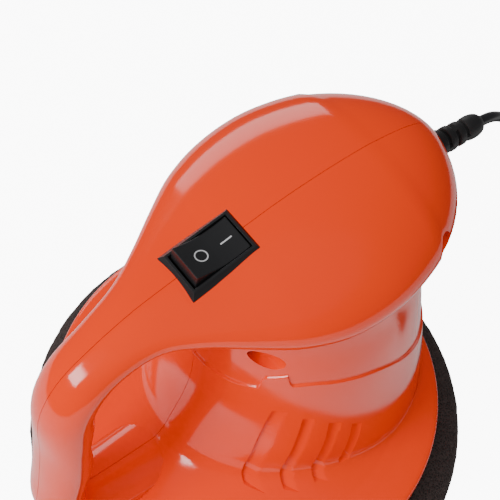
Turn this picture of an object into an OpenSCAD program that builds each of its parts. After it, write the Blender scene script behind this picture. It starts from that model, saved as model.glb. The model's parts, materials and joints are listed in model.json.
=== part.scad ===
// Small rotary polisher: loop handle, offset motor, spur gear pair and a foam pad.
// Millimetres, +Z up. The origin is on the spindle axis, at the pad's working face.
// +X points to the cord, -X to the handle, and Y = 0 is where the two shells part.

/* [Pad and backing plate] */
// Radius of the foam pad at its widest
pad_r = 65.5; // [62:0.5:67]
// Thickness of the foam pad
pad_h = 19; // [17:0.5:19]
// Radius of the backing plate
plate_r = 56; // [50:1:57]

/* [Housing] */
// Wall of the two shells
wall = 2.2; // [2:0.1:2.4]
// Radius of the skirt's rim
skirt_r = 57; // [55:0.5:59]
// Height of the skirt's lower edge
skirt_z = 25; // [24.5:0.5:26]

/* [Gears] */
// Module of the gear pair
gear_module = 0.8; // [0.8]
// Teeth of the motor's pinion
pinion_teeth = 12; // [12]
// Teeth of the spindle's gear
gear_teeth = 33; // [33]
// Play left beside each tooth flank
flank_play = 0.1; // [0.08:0.01:0.14]

/* [Motor] */
// Radius of the motor can
can_r = 18.9; // [18:0.1:19]
// Height of the motor's front face
can_z = 50; // [50:0.5:51]
// Length of the motor can
can_h = 48; // [46:1:48]
// Radius of the motor shaft
shaft_r = 1.585; // [1.5:0.005:1.6]

/* [Switch] */
// Middle of the switch bezel, from the spindle axis
switch_x = -9.2; // [-9.5:0.1:-9]
// Height of the seat under the bezel
switch_z = 112.9; // [112.5:0.1:113.2]
// Slope of the switch towards the handle, in degrees
switch_slope = 9.8; // [9:0.1:10.5]
// Tilt of the rocker each side of level, in degrees
rocker_tilt = 11; // [10:0.5:12]

/* [Cord and plug] */
// Diameter of the two-core lead
cord_d = 3; // [2.8:0.1:3]
// Middle radius of the lead's coil
coil_r = 18; // [17:0.5:18]
// Radius of the plug's barrel
barrel_r = 10.4; // [10.2:0.1:10.5]

/* [Hidden] */
$fn = 48;
eps = 0.01;
orange = [0.93, 0.25, 0.03];
black = [0.05, 0.05, 0.055];
steel = [0.72, 0.73, 0.75];
zinc = [0.80, 0.80, 0.82];
copper = [0.72, 0.38, 0.18];
brass = [0.80, 0.64, 0.30];
motor_x = gear_module * (gear_teeth + pinion_teeth) / 2;

// The head and the handle are one tube: x, z, half height, half width of each station
tube_line = [
    [48, 104, 12, 23.4], [38, 105, 13.1, 29.8], [24, 104.5, 14, 33.6], [10, 103.4, 14.1, 33.3],
    [-2, 103.8, 12, 29.3], [-12, 104.6, 9, 22.9], [-22, 105.2, 6.4, 15.8], [-31, 104.4, 5.1, 10.8],
    [-41, 100.6, 5, 8.9], [-49.5, 94.5, 6, 8.9], [-54.5, 85, 6.7, 9.3], [-56.5, 70, 6.7, 9.6],
    [-60, 54, 6.3, 9.2], [-62.5, 41, 6.3, 9], [-58, 32.5, 6.3, 9.6], [-46, 31, 5.8, 10.5], [-27, 31.5, 5, 11]
];
// The column round the motor: height, radius, and how far its rear keel stands out
column_line = [
    [28, 38, 14], [34, 37.5, 11], [40, 37, 8.6], [46, 36.6, 5.6], [52, 36, 2.8],
    [60, 35.2, 0.6], [70, 34.2, 0], [80, 33, 0], [90, 31.5, 0], [100, 31, 0]
];
// The skirt over the backing plate: radius and height of its upper side
skirt_line = [
    [skirt_r, skirt_z + 3], [skirt_r - 4, skirt_z + 4], [skirt_r - 9, skirt_z + 6],
    [skirt_r - 14, skirt_z + 9], [skirt_r - 18, skirt_z + 13]
];

// Cooling slots: x and z of each slot's top and bottom
vents = [
    [[-7, 62], [-13, 37]], [[-1, 60], [-4.5, 36]], [[5.5, 57], [3.5, 37]], [[11.5, 52], [10.5, 38]]
];
// Shell screws: x, z, the depth of the head's seat, and the screw's length
shell_screws = [[-6.8, 85.7, 12, 22], [40, 106, 18, 28], [49, 52, 12, 22], [-51, 31.5, 5.5, 12]];
shell_screw_r = 1.45;
shell_boss_r = 3.2;
recess_r = 3;

// Gearbox: pillars that the cover's screws enter
pillars = [[-11, 13.5], [-11, -13.5], [33, 10], [33, -10]];
pillar_r = 3;
cover_z = 28;
cover_h = 3;
gear_z = 34;
gear_h = 6;
bearing_z = 26;
bearing_h = 7;
bearing_r = 11;
spindle_r = 4;
journal_r = 3;
running_fit = 0.05;

// Switch body
bezel = [21, 15, 1.8];
switch_body = [19, 12.9, 12];
rocker_gap = [17, 10.9];
rocker_w = 10.2;
rocker_pin_r = 1;
rocker_pivot = -0.5;
lever_pivot = -9.2;
lever_tilt = 6;

// Strain relief: place and slope of its axis where it leaves the head
gland_at = [58, 0, 98.6];
gland_slope = 8.4;
gland_l = 21;

// Routes of the lead and of the wires inside, one point after another
lead_route = [
    [78.8, 0, 95.5], [83, 0, 94.3], [87, 0, 91.5], [91, 0, 87], [94.5, 0, 80], [97.5, 0, 71],
    [100, -0.4, 60], [102, -1.4, 48], [103.8, -3, 36], [104.8, -4.9, 27], [105.1, -5.6, 20.6],
    [106, -4.9, 14.9], [108.6, -3, 10], [112.5, -0.2, 6.8], [117.1, 3.2, 5.6], [124.4, 5.6, 4.3],
    [132, 5.2, 3.6]
];
coil_at = [134, -20];
coil_w = 15.6;
coil_h = 19.6;
plug_lead_route = [
    [134, 5, 16.9], [138.5, 6.4, 16.6], [143, 7.1, 14.9], [148, 7, 11.4], [153, 6.2, 7.4],
    [158.5, 4.4, 3.8], [164.5, 1.2, 1.8], [170, -3.6, 1.6], [174.8, -10.4, 1.6], [177.8, -19, 2],
    [178.6, -28, 2.8], [177.4, -37.5, 4.2], [173.8, -46.5, 6.4], [168, -54, 9], [161.5, -58.9, 11.1],
    [156, -60, 11.5]
];
switch_wire = [
    [42, 2, 101], [39, 10, 99], [37, 17, 98], [28, 22, 100], [14, 23, 101], [2, 20, 99],
    [-4, 12, 94], [-4.5, 5, 92.5], [-3.4, 0.5, 94]
];
motor_wire = [
    [-10.2, -0.5, 94.5], [-9, -4, 92.8], [-6, -10, 93], [-1, -18, 96], [6, -22, 101], [14, -19, 105.5],
    [18, -14.5, 106.5]
];
return_wire = [
    [18, 14.5, 106.5], [23, 18, 106], [29, 19, 103.2], [34.5, 14, 101.4], [37.8, 6.5, 100.8],
    [40, 1, 99.9], [42, -1, 100.4]
];
wire_d = 1.5;

plug_at = [156, -60, 11.5];
plug_grip_r = 11.5;

// The shells' points lie on a grid this fine, so that faces which cross leave no slivers
shell_grid = 0.05;

// ---- Helpers -------------------------------------------------------------

function unit(v) = v / norm(v);

// A point between b and c on the smooth curve through a, b, c and d
function between(a, b, c, d, t) =
    0.5 * (2 * b + (c - a) * t + (2 * a - 5 * b + 4 * c - d) * t * t
        + (3 * b - a - 3 * c + d) * t * t * t);

// The route with extra points on a smooth curve through its own
function smooth(p, steps) = [
    for (i = [0 : len(p) - 2]) for (k = [0 : steps - 1])
        between(p[max(i - 1, 0)], p[i], p[i + 1], p[min(i + 2, len(p) - 1)], k / steps),
    p[len(p) - 1]
];

// A closed skin over rings of equal size, each a list of points
module skin(rings, grid = 0.001) {
    n = len(rings[0]);
    m = len(rings);
    polyhedron(
        points = [for (r = rings) for (p = r) [for (x = p) round(x / grid) * grid]],
        faces = [
            [for (i = [0 : n - 1]) i],
            for (j = [0 : m - 2]) for (i = [0 : n - 1]) each [
                [j * n + i, (j + 1) * n + i, j * n + (i + 1) % n],
                [j * n + (i + 1) % n, (j + 1) * n + i, (j + 1) * n + (i + 1) % n]
            ],
            [for (i = [n - 1 : -1 : 0]) (m - 1) * n + i]
        ]);
}

// A round tube of diameter d along a route; ref is never along the route
module cable(route, d, steps, ref, sides = 8) {
    p = smooth(route, steps);
    last = len(p) - 1;
    skin([for (i = [0 : last])
        let (t = unit(p[min(i + 1, last)] - p[max(i - 1, 0)]),
             u = unit(cross(ref, t)),
             v = cross(t, u))
        [for (k = [0 : sides - 1]) p[i] + d / 2 * (cos(k * 360 / sides) * u + sin(k * 360 / sides) * v)]]);
}

// Half the angle that an involute tooth fills at radius r, in degrees
function roll_angle(r, base_r) = let (a = acos(min(1, base_r / r))) tan(a) * 180 / PI - a;
function half_tooth(r, n) =
    let (pitch_r = gear_module * n / 2, base_r = pitch_r * cos(20), c = max(r, base_r))
    90 / n - flank_play / pitch_r * 180 / PI + roll_angle(pitch_r, base_r) - roll_angle(c, base_r);

// Outline of a spur gear with n teeth, turned by start degrees
module gear_outline(n, start) {
    pitch_r = gear_module * n / 2;
    base_r = pitch_r * cos(20);
    root_r = pitch_r - 1.2 * gear_module;
    tip_r = pitch_r + 0.85 * gear_module;
    foot_r = max(root_r + 0.1, base_r);
    radii = [root_r, foot_r, (foot_r + pitch_r) / 2 + 0.2, (pitch_r + tip_r) / 2, tip_r];
    polygon([
        for (i = [0 : n - 1]) let (a = start + i * 360 / n) each [
            for (k = [0 : 4]) let (h = a - half_tooth(radii[k], n)) radii[k] * [cos(h), sin(h)],
            for (k = [4 : -1 : 0]) let (h = a + half_tooth(radii[k], n)) radii[k] * [cos(h), sin(h)]
        ]
    ]);
}

module tube(r_out, r_in, h) {
    difference() {
        cylinder(r = r_out, h = h);
        translate([0, 0, -eps]) cylinder(r = r_in, h = h + 2 * eps);
    }
}

module at_switch() {
    translate([switch_x, 0, switch_z]) rotate([0, -switch_slope, 0]) children();
}

module at_gland() {
    translate(gland_at) rotate([0, 90 + gland_slope, 0]) children();
}

module at_motor(z) {
    translate([motor_x, 0, z]) children();
}

// The plug lies along -X: z in here runs from its cord end to its tip
module at_plug() {
    translate(plug_at) rotate([0, -90, 0]) children();
}

// ---- Housing -------------------------------------------------------------

// The rings of the rounded nose, as shrunken copies of the first station
function nose_line() = let (s = tube_line[0]) [
    for (a = [84, 64, 42, 20]) [s[0] + s[2] * sin(a), s[1] - 0.8 * sin(a), s[2] * cos(a), s[3] * cos(a)]
];

module tube_body(inset) {
    line = [for (s = nose_line()) [s[0] - inset, s[1], max(s[2] - inset, 0.3), max(s[3] - inset, 0.5)],
        for (s = tube_line) [s[0], s[1], s[2] - inset, s[3] - inset]];
    sides = 28;
    last = len(line) - 1;
    skin([for (i = [0 : last])
        let (s = line[i], a = line[max(i - 1, 0)], b = line[min(i + 1, last)],
             t = i < 4 ? [-1, 0] : unit([b[0] - a[0], b[1] - a[1]]))
        [for (k = [0 : sides - 1]) let (q = k * 360 / sides)
            [s[0] - t[1] * s[2] * cos(q), -s[3] * sin(q), s[1] + t[0] * s[2] * cos(q)]]], shell_grid);
}

module column_body(inset) {
    sides = 32;
    skin([for (s = column_line)
        [for (k = [0 : sides - 1])
            let (a = k * 360 / sides, r = s[1] - inset + s[2] * pow(max(0, -cos(a)), 3))
            [motor_x + r * cos(a), r * sin(a), s[0] - (inset > 0 && s[0] < 30 ? 1 : 0)]]], shell_grid);
}

module skirt_body(inset) {
    low = inset > 0 ? skirt_z - 1 : skirt_z;
    rotate_extrude($fn = 64)
        polygon([
            [0, low], [skirt_r - inset, low],
            for (p = skirt_line) [p[0] - inset, p[1] - (inset > 0 ? 2 : 0)],
            [0, skirt_line[4][1] - (inset > 0 ? 2 : 0)]
        ]);
}

// Stiffening ribs: two rings that hold the motor can, a ledge over the gearbox cover,
// and a stop over the motor plate
module inner_ribs() {
    for (p = [[62, 33.9], [88, 30.6]])
        at_motor(p[0]) difference() {
            cylinder(r = p[1], h = 2, $fn = 32);
            translate([0, 0, -1]) cylinder(r = can_r + 0.3, h = 4);
        }
    difference() {
        at_motor(cover_z + cover_h + 0.1) cylinder(r = 36.5, h = 2, $fn = 32);
        translate([10, 0, cover_z]) cylinder(r = 32, h = 8);
    }
    at_motor(can_z + 0.1) difference() {
        cylinder(r = 34.9, h = 2, $fn = 32);
        translate([0, 0, -1]) cylinder(r = can_r + 1, h = 4);
        translate([-50, -50, -1]) cube([54, 100, 4]);
    }
}

module boss_pair(s) {
    translate([s[0], -60, s[1]]) rotate([-90, 0, 0]) {
        cylinder(r = shell_boss_r, h = 120, $fn = 24);
        cylinder(r = recess_r + 1.2, h = 61.6 - s[2], $fn = 24);
    }
}

module shell_bosses() {
    for (s = [shell_screws[0], shell_screws[2]])
        intersection() {
            column_body(wall / 2);
            boss_pair(s);
        }
    for (s = [shell_screws[1], shell_screws[3]])
        intersection() {
            tube_body(wall / 2);
            boss_pair(s);
        }
    // Two posts for the cord clamp, on the right shell
    for (z = [96.2, 104.8])
        translate([45.5, 0.05, z]) rotate([-90, 0, 0]) cylinder(r = 2, h = 24, $fn = 20);
}

module housing_cuts() {
    at_switch() translate([0, 0, -1]) cube([switch_body[0] + 0.4, switch_body[1] + 0.4, 30], center = true);
    at_gland() translate([0, 0, -3]) cylinder(r = 3, h = 12, $fn = 32);
    for (s = shell_screws) {
        translate([s[0], -60, s[1]]) rotate([-90, 0, 0]) cylinder(r = shell_screw_r + 0.1, h = 72, $fn = 24);
        translate([s[0], -60, s[1]]) rotate([-90, 0, 0]) cylinder(r = recess_r, h = 60 - s[2], $fn = 24);
    }
    for (z = [96.2, 104.8])
        translate([45.5, -1, z]) rotate([-90, 0, 0]) cylinder(r = 1.15, h = 9, $fn = 20);
    for (side = [-1, 1]) for (v = vents)
        hull() for (p = v)
            translate([p[0], side * 32, p[1]]) rotate([90, 0, 0])
                cylinder(r = 1.2, h = 32, center = true, $fn = 16);
}

module housing_whole() {
    difference() {
        union() {
            difference() {
                union() {
                    tube_body(0);
                    column_body(0);
                    skirt_body(0);
                }
                tube_body(wall);
                column_body(wall);
                skirt_body(wall);
            }
            inner_ribs();
            shell_bosses();
        }
        housing_cuts();
    }
}

module housing_half(side) {
    color(orange) intersection() {
        housing_whole();
        translate([-100, side > 0 ? 0 : -80, 0]) cube([200, 80, 140]);
    }
}

module housing_left() { housing_half(-1); }
module housing_right() { housing_half(1); }

module pan_screw(r, l, head_r, head_h) {
    cylinder(r = r, h = l, $fn = 24);
    difference() {
        translate([0, 0, -head_h]) cylinder(r = head_r, h = head_h, $fn = 32);
        for (a = [0, 90]) rotate([0, 0, a])
            translate([-head_r * 0.6, -0.3, -head_h - eps]) cube([head_r * 1.2, 0.6, head_h * 0.5]);
    }
}

module housing_screws() {
    color(steel) for (s = shell_screws)
        translate([s[0], -s[2], s[1]]) rotate([-90, 0, 0]) pan_screw(shell_screw_r, s[3] - 0.5, 2.7, 1.9);
}

// ---- Gearbox -------------------------------------------------------------

module gearbox_cover() {
    color(black) difference() {
        union() {
            translate([10, 0, cover_z]) cylinder(r = 33, h = cover_h, $fn = 96);
            translate([0, 0, skirt_z + 0.8])
                cylinder(r = bearing_r + 2.6, h = bearing_z + bearing_h - skirt_z - 0.8);
        }
        translate([0, 0, bearing_z]) cylinder(r = bearing_r, h = bearing_h + 1);
        translate([0, 0, skirt_z]) cylinder(r = bearing_r - 1.6, h = 4);
        for (p = pillars) translate([p[0], p[1], cover_z - 1]) cylinder(r = 1.6, h = cover_h + 2);
    }
}

module cover_screws() {
    color(steel) for (p = pillars) translate([p[0], p[1], cover_z]) pan_screw(1.45, 9, 2.7, 1.9);
}

module motor_plate() {
    color(zinc) difference() {
        union() {
            at_motor(can_z - 3) cylinder(r = 24, h = 3, $fn = 96);
            translate([-0.5, 0, can_z - 3]) cylinder(r = 18.5, h = 3, $fn = 96);
            translate([0, 0, can_z - 8]) cylinder(r = 7.5, h = 8);
            for (p = pillars)
                translate([p[0], p[1], cover_z + cover_h])
                    cylinder(r = pillar_r, h = can_z - cover_z - cover_h);
        }
        translate([0, 0, can_z - 9]) cylinder(r = 5, h = 8);
        at_motor(can_z - 9) cylinder(r = 6.5, h = 12);
        for (y = [-12.5, 12.5]) translate([motor_x, y, can_z - 9]) cylinder(r = 1.6, h = 12);
        for (p = pillars) translate([p[0], p[1], cover_z]) cylinder(r = 1.5, h = 13);
    }
}

module motor_screws() {
    color(steel) for (y = [-12.5, 12.5])
        translate([motor_x, y, can_z - 3]) pan_screw(1.45, 5, 2.7, 1.9);
}

module lower_bearing_outer_ring() {
    color(steel) translate([0, 0, bearing_z]) tube(bearing_r, 9.3, bearing_h);
}

module lower_bearing_inner_ring() {
    color(steel) translate([0, 0, bearing_z]) tube(5.8, spindle_r, bearing_h);
}

module lower_bearing_balls() {
    color(steel) for (i = [0 : 6]) rotate([0, 0, i * 360 / 7])
        translate([7.55, 0, bearing_z + bearing_h / 2]) sphere(r = 1.45, $fn = 24);
}

module upper_bush() {
    color(brass) translate([0, 0, can_z - 8]) tube(5, journal_r + running_fit, 6.8);
}

module spindle() {
    color(steel) difference() {
        union() {
            translate([0, 0, 21.6]) cylinder(r = spindle_r, h = gear_z + gear_h - 21.6);
            translate([0, 0, gear_z + gear_h]) cylinder(r = journal_r, h = can_z - 1.6 - gear_z - gear_h);
        }
        translate([0, 0, 21]) cylinder(r = 2.5, h = 13);
    }
}

module spindle_gear() {
    color([0.92, 0.90, 0.82]) difference() {
        union() {
            translate([0, 0, gear_z]) linear_extrude(gear_h) gear_outline(gear_teeth, 180 / gear_teeth);
            translate([0, 0, gear_z - 0.9]) cylinder(r = 5.5, h = 1);
        }
        translate([0, 0, gear_z - 2]) cylinder(r = spindle_r, h = gear_h + 4);
    }
}

module pinion() {
    color(brass) difference() {
        at_motor(gear_z - 0.4) linear_extrude(gear_h + 1) gear_outline(pinion_teeth, 180);
        at_motor(gear_z - 2) cylinder(r = shaft_r, h = gear_h + 4);
    }
}

// ---- Motor ---------------------------------------------------------------

module motor_can() {
    color(zinc) difference() {
        union() {
            at_motor(can_z) cylinder(r = can_r, h = can_h, $fn = 96);
            at_motor(can_z - 4) cylinder(r = 6.4, h = 5);
        }
        at_motor(can_z + 1.2) cylinder(r = can_r - 1.2, h = can_h, $fn = 96);
        at_motor(can_z - 5) cylinder(r = 4, h = 8);
        for (y = [-12.5, 12.5]) translate([motor_x, y, can_z - 1]) cylinder(r = 1.45, h = 4);
        for (a = [45 : 90 : 315]) translate([motor_x, 0, can_z + 5]) rotate([0, 0, a])
            translate([10, -4, 0]) cube([12, 8, 6]);
    }
}

module motor_end_cap() {
    color(black) difference() {
        at_motor(can_z + can_h) union() {
            cylinder(r = can_r, h = 3, $fn = 96);
            cylinder(r = 6.5, h = 5);
        }
        at_motor(can_z + can_h - 1) cylinder(r = 4, h = 5);
        at_motor(can_z + can_h + 2) cylinder(r = shaft_r + 0.4, h = 5);
        for (y = [-13, 13]) translate([motor_x - 2.4, y - 0.3, can_z + can_h - 1]) cube([4.8, 0.6, 6]);
    }
}

module motor_magnets() {
    color([0.22, 0.21, 0.21]) for (a = [-60, 120])
        at_motor(63) rotate([0, 0, a]) rotate_extrude(angle = 120, $fn = 96)
            translate([15.4, 0]) square([can_r - 1.25 - 15.4, 28]);
}

module motor_front_bush() { color(brass) at_motor(can_z - 3.8) tube(4, shaft_r + running_fit, 4.5); }

module motor_rear_bush() { color(brass) at_motor(can_z + can_h) tube(4, shaft_r + running_fit, 3.8); }

module motor_shaft() {
    color(steel) at_motor(32) cylinder(r = shaft_r, h = can_z + can_h + 4.4 - 32, $fn = 32);
}

module slot_row(r_in, r_out, w, z, h) {
    at_motor(z) for (a = [0 : 72 : 288])
        rotate([0, 0, a]) translate([r_in, -w / 2, 0]) cube([r_out - r_in, w, h]);
}

module armature_core() {
    color([0.45, 0.46, 0.48]) difference() {
        at_motor(64) tube(14.6, shaft_r, 26);
        slot_row(6, 13, 6, 63, 28);
        slot_row(12, 16, 2, 63, 28);
    }
}

module armature_windings() {
    color(copper) {
        slot_row(6.3, 12.6, 5.4, 64, 26);
        for (z = [61, 90]) at_motor(z) tube(12.6, 5.2, 3);
    }
}

module commutator() {
    color(copper) difference() {
        at_motor(93.1) tube(4.6, shaft_r, 4.3);
        slot_row(4.1, 6, 0.5, 93, 5);
    }
}

module motor_fan() {
    color([0.85, 0.85, 0.80]) difference() {
        at_motor(53.4) union() {
            cylinder(r = 3.4, h = 6);
            cylinder(r = 14, h = 1);
            for (a = [0 : 45 : 315]) rotate([0, 0, a]) translate([3, -0.5, 0]) cube([11.5, 1, 6]);
        }
        at_motor(52) cylinder(r = shaft_r, h = 9);
    }
}

module motor_brushes() {
    color([0.18, 0.17, 0.17]) for (side = [0, 180])
        at_motor(93.8) rotate([0, 0, side]) translate([-2, 4.9, 0]) cube([4, 4.6, 3]);
}

module brush_springs() {
    color(brass) for (side = [0, 180])
        at_motor(93.8) rotate([0, 0, side]) {
            translate([-1.5, 9.5, 0.4]) cube([10, 0.4, 2.2]);
            translate([8.5, 9.5, 0.4]) cube([0.4, 5, 2.2]);
        }
}

module motor_terminals() {
    color(brass) for (y = [-13, 13])
        translate([motor_x - 2.4, y - 0.3, can_z + can_h - 0.8]) cube([4.8, 0.6, 8.4]);
}

module noise_capacitor() {
    color([0.80, 0.48, 0.18]) {
        translate([motor_x + 6.5, -1.2, 107]) rotate([-90, 0, 0]) cylinder(r = 4, h = 2.4);
        for (side = [-1, 1])
            translate([motor_x + 6.2, side > 0 ? 1.2 : -12.8, 105]) cube([0.6, 11.6, 0.6]);
    }
}

// ---- Pad -----------------------------------------------------------------

module backing_plate() {
    color(black) difference() {
        union() {
            translate([0, 0, pad_h + 1.2]) cylinder(r = plate_r, h = 2.8, $fn = 128);
            translate([0, 0, pad_h + 4]) cylinder(r = 7, h = 2.2);
            for (a = [0 : 45 : 315]) rotate([0, 0, a]) translate([6, -0.8, pad_h + 3]) cube([46, 1.6, 2]);
        }
        translate([0, 0, pad_h + 2.6]) cylinder(r = spindle_r, h = 6);
        translate([0, 0, pad_h]) cylinder(r = 5.2, h = 2.6);
    }
}

module plate_screw() {
    color(steel) difference() {
        union() {
            translate([0, 0, pad_h + 1.4]) cylinder(r = 4.8, h = 1.2);
            translate([0, 0, pad_h + 1.4]) cylinder(r = 2.5, h = 13);
        }
        translate([0, 0, pad_h + 1]) cylinder(r = 1.6, h = 1.2, $fn = 6);
    }
}

module hook_disc() {
    color([0.09, 0.09, 0.10]) translate([0, 0, pad_h]) cylinder(r = plate_r - 2, h = 1.2, $fn = 128);
}

module foam_pad() {
    color([0.13, 0.11, 0.11]) rotate_extrude($fn = 128)
        polygon([
            [0, 0], [pad_r - 7.5, 0],
            for (a = [-60 : 30 : 0]) [pad_r - 7.5 + 7.5 * cos(a), 9 + 9 * sin(a)],
            for (a = [0 : 30 : 60]) [pad_r - 9 + 9 * cos(a), 11 + (pad_h - 11) * sin(a)],
            [pad_r - 9, pad_h], [0, pad_h]
        ]);
}

// ---- Switch --------------------------------------------------------------

module switch_frame() {
    low = -switch_body[2];
    color(black) at_switch() difference() {
        union() {
            hull() {
                translate([-bezel[0] / 2, -bezel[1] / 2, 0]) cube([bezel[0], bezel[1], 0.6]);
                translate([-bezel[0] / 2 + 1, -bezel[1] / 2 + 1, 0])
                    cube([bezel[0] - 2, bezel[1] - 2, bezel[2]]);
            }
            translate([-switch_body[0] / 2, -switch_body[1] / 2, low])
                cube([switch_body[0], switch_body[1], switch_body[2] + eps]);
        }
        translate([-rocker_gap[0] / 2, -rocker_gap[1] / 2, low + 1.2])
            cube([rocker_gap[0], rocker_gap[1], switch_body[2] + bezel[2] + 1]);
        translate([0, -8, rocker_pivot]) rotate([-90, 0, 0]) cylinder(r = rocker_pin_r + running_fit, h = 16);
        for (x = [-4, 3]) translate([x - 0.4, -2.4, low - 1]) cube([0.8, 4.8, 4]);
    }
}

module switch_terminals() {
    color(brass) at_switch() for (x = [-4, 3]) {
        translate([x - 0.4, -2.4, -17.2]) cube([0.8, 4.8, 6.4]);
        translate([x - 0.4, -2.4, -11]) cube([0.8, 4.8, 0.7]);
    }
}

module at_rocker() { at_switch() translate([0, 0, rocker_pivot]) rotate([0, rocker_tilt, 0]) children(); }

module rocker() {
    rise = 7.6 * tan(rocker_tilt);
    color(black) at_rocker() difference() {
        union() {
            translate([0, rocker_w / 2, 0]) rotate([90, 0, 0]) linear_extrude(rocker_w)
                polygon([
                    [0, 2.2], [7.6, 2.2 + rise], [8.15, 0.6], [8.05, -1.4], [2.4, -2.8], [1.8, -5.4],
                    [-1.8, -5.4], [-2.4, -2.8], [-8.05, -1.4], [-8.15, 0.6], [-7.6, 2.2 + rise]
                ]);
            translate([0, -6.2, 0]) rotate([-90, 0, 0]) cylinder(r = rocker_pin_r, h = 12.4);
        }
        translate([0, 0, -6]) cylinder(r = 1, h = 4.2);
    }
}

module rocker_plunger() {
    color(steel) at_rocker() {
        translate([0, 0, -7]) cylinder(r = 0.95, h = 4);
        translate([0, 0, -7]) sphere(r = 0.95);
    }
}

module contact_lever() {
    color(copper) at_switch() translate([0, 0, lever_pivot]) rotate([0, -lever_tilt, 0]) {
        translate([-5.5, -2, -0.25]) cube([11, 4, 0.5]);
        rotate([90, 0, 0]) cylinder(r = 0.6, h = 4.4, center = true);
    }
}

// ---- Cord entry ----------------------------------------------------------

module strain_relief() {
    color(black) at_gland() rotate_extrude()
        polygon([
            [0, -4.6], [4, -4.6], [4, -2.8], [2.9, -2.8], [2.9, 1.2],
            for (i = [0 : 3]) let (z = 1.2 + 3.4 * i, r = 3.9 - 0.18 * i) each [
                [r, z], [r - 0.05, z + 2.1], [r - 1, z + 2.3], [r - 1, z + 3.2]
            ],
            [3.1, 15.2], [3.35, 17], [3.1, 19.4], [2.3, gland_l], [0, gland_l]
        ]);
}

module cord_tail() {
    color(black) at_gland() translate([0, 0, -16]) cylinder(r = cord_d / 2, h = 11.4);
}

module cord_clamp() {
    color(black) difference() {
        union() {
            translate([43.5, -3.4, 94.8]) cube([4, 1.8, 11.4]);
            for (z = [94.8, 102.8]) translate([43.5, -1.65, z]) cube([4, 1.65, 3.4]);
        }
        for (z = [96.2, 104.8]) translate([45.5, -5, z]) rotate([-90, 0, 0]) cylinder(r = 1.25, h = 8);
    }
}

module clamp_screws() {
    color(steel) for (z = [96.2, 104.8])
        translate([45.5, -3.4, z]) rotate([-90, 0, 0]) pan_screw(1.1, 10.5, 1.9, 1.3);
}

module wire_to_switch() { color([0.60, 0.05, 0.04]) cable(switch_wire, wire_d, 2, unit([0.2, 0.1, 1])); }
module wire_to_motor() { color([0.60, 0.05, 0.04]) cable(motor_wire, wire_d, 2, unit([0.1, 0.2, 1])); }
module wire_return() { color(black) cable(return_wire, wire_d, 2, unit([0.15, 1, 0.1])); }

// ---- Lead and plug -------------------------------------------------------

module power_cord() { color(black) cable(lead_route, cord_d, 2, [0, 1, 0]); }
module plug_cord() { color(black) cable(plug_lead_route, cord_d, 2, [0, 0, 1]); }

module cord_coil() {
    b = 2.4;
    w = coil_w / 2;
    color(black) translate([coil_at[0], coil_at[1], 0]) rotate_extrude($fn = 64)
        translate([coil_r, 0]) polygon([
            [-w + b, 0], [w - b, 0], [w, b], [w, coil_h - b], [w - b, coil_h],
            [-w + b, coil_h], [-w, coil_h - b], [-w, b]
        ]);
}

module cord_tie() {
    w = coil_w + 1.6;
    color(black) translate([coil_at[0] - coil_r, coil_at[1], 0]) difference() {
        translate([-w / 2, -2, 0]) cube([w, 4, coil_h + 0.9]);
        translate([-coil_w / 2, -3, 0.6]) cube([coil_w, 6, coil_h - 0.5]);
    }
}

module plug_boot() {
    color(black) at_plug() rotate_extrude()
        polygon([
            [0, 0], [2.4, 0], [3.1, 1], [4.6, 10], [4.6, 13],
            [3.8, 13.6], [3.8, 15.4], [4.8, 15.4], [4.8, 17.4], [0, 17.4]
        ]);
}

module plug_profile() {
    polygon([
        [0, 11.4], [6.5, 11.4], [10, 13.4], [plug_grip_r, 17], [plug_grip_r - 0.7, 26], [plug_grip_r, 36],
        [plug_grip_r, 39], [barrel_r, 39.6], [barrel_r, 63],
        [barrel_r - 1.6, 63], [barrel_r - 1.6, 66], [0, 66]
    ]);
}

module plug_shell(side) {
    color(black) at_plug() difference() {
        intersection() {
            rotate_extrude() plug_profile();
            translate([side > 0 ? 0 : -20, -20, 0]) cube([20, 40, 80]);
        }
        translate([0, 0, 19]) cylinder(r = 8.4, h = 42);
        translate([0, 0, 13.5]) cylinder(r = 4.9, h = 5.6);
        translate([0, 0, 10]) cylinder(r = 3.9, h = 4);
        translate([0, 0, 13.8]) cylinder(r = 4.9, h = 4);
        translate([0, 0, 60]) cylinder(r = 5.4, h = 8);
        for (a = [90, 270]) rotate([0, 0, a]) translate([8, -2.8, 43]) cube([6, 5.6, 17]);
        translate([0, 0, 31]) rotate([0, 90, 0])
            cylinder(r = side > 0 ? 1.6 : 1.3, h = 30, center = true);
        if (side < 0) translate([-15, 0, 31]) rotate([0, 90, 0]) cylinder(r = 2.6, h = 6.5);
        if (side > 0) translate([4, 0, 22.5]) rotate([0, 90, 0]) cylinder(r = 1.75, h = 10);
    }
}

module plug_shell_top() { plug_shell(1); }
module plug_shell_bottom() { plug_shell(-1); }

module plug_screw() {
    color(steel) at_plug() translate([-8.4, 0, 31]) rotate([0, 90, 0]) pan_screw(1.25, 17.6, 2.3, 1.4);
}

module plug_side_contacts() {
    color(steel) at_plug() for (a = [90, 270]) rotate([0, 0, a])
        rotate([90, 0, 0]) translate([0, 0, -2.5]) linear_extrude(5) polygon([
            [8.6, 43.6], [9.2, 43.6], [11.3, 51], [9.2, 59.4], [8.6, 59.4], [10.7, 51]
        ]);
}

module plug_cap() {
    color(black) at_plug() translate([0, 0, 63.2]) rotate_extrude()
        polygon([
            [8.9, 0], [10.2, 0], [10.2, 3], [9.4, 3.6], [7, 12.8],
            [3.4, 12.8], [3.4, 11], [6, 11], [7.2, 3.1], [8.9, 3]
        ]);
}

module plug_tip() {
    color(steel) at_plug() rotate_extrude()
        polygon([[0, 71.2], [4.9, 71.2], [4.9, 73.4], [3.2, 73.8], [3.2, 79], [2, 80.5], [0, 81]]);
}

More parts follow.
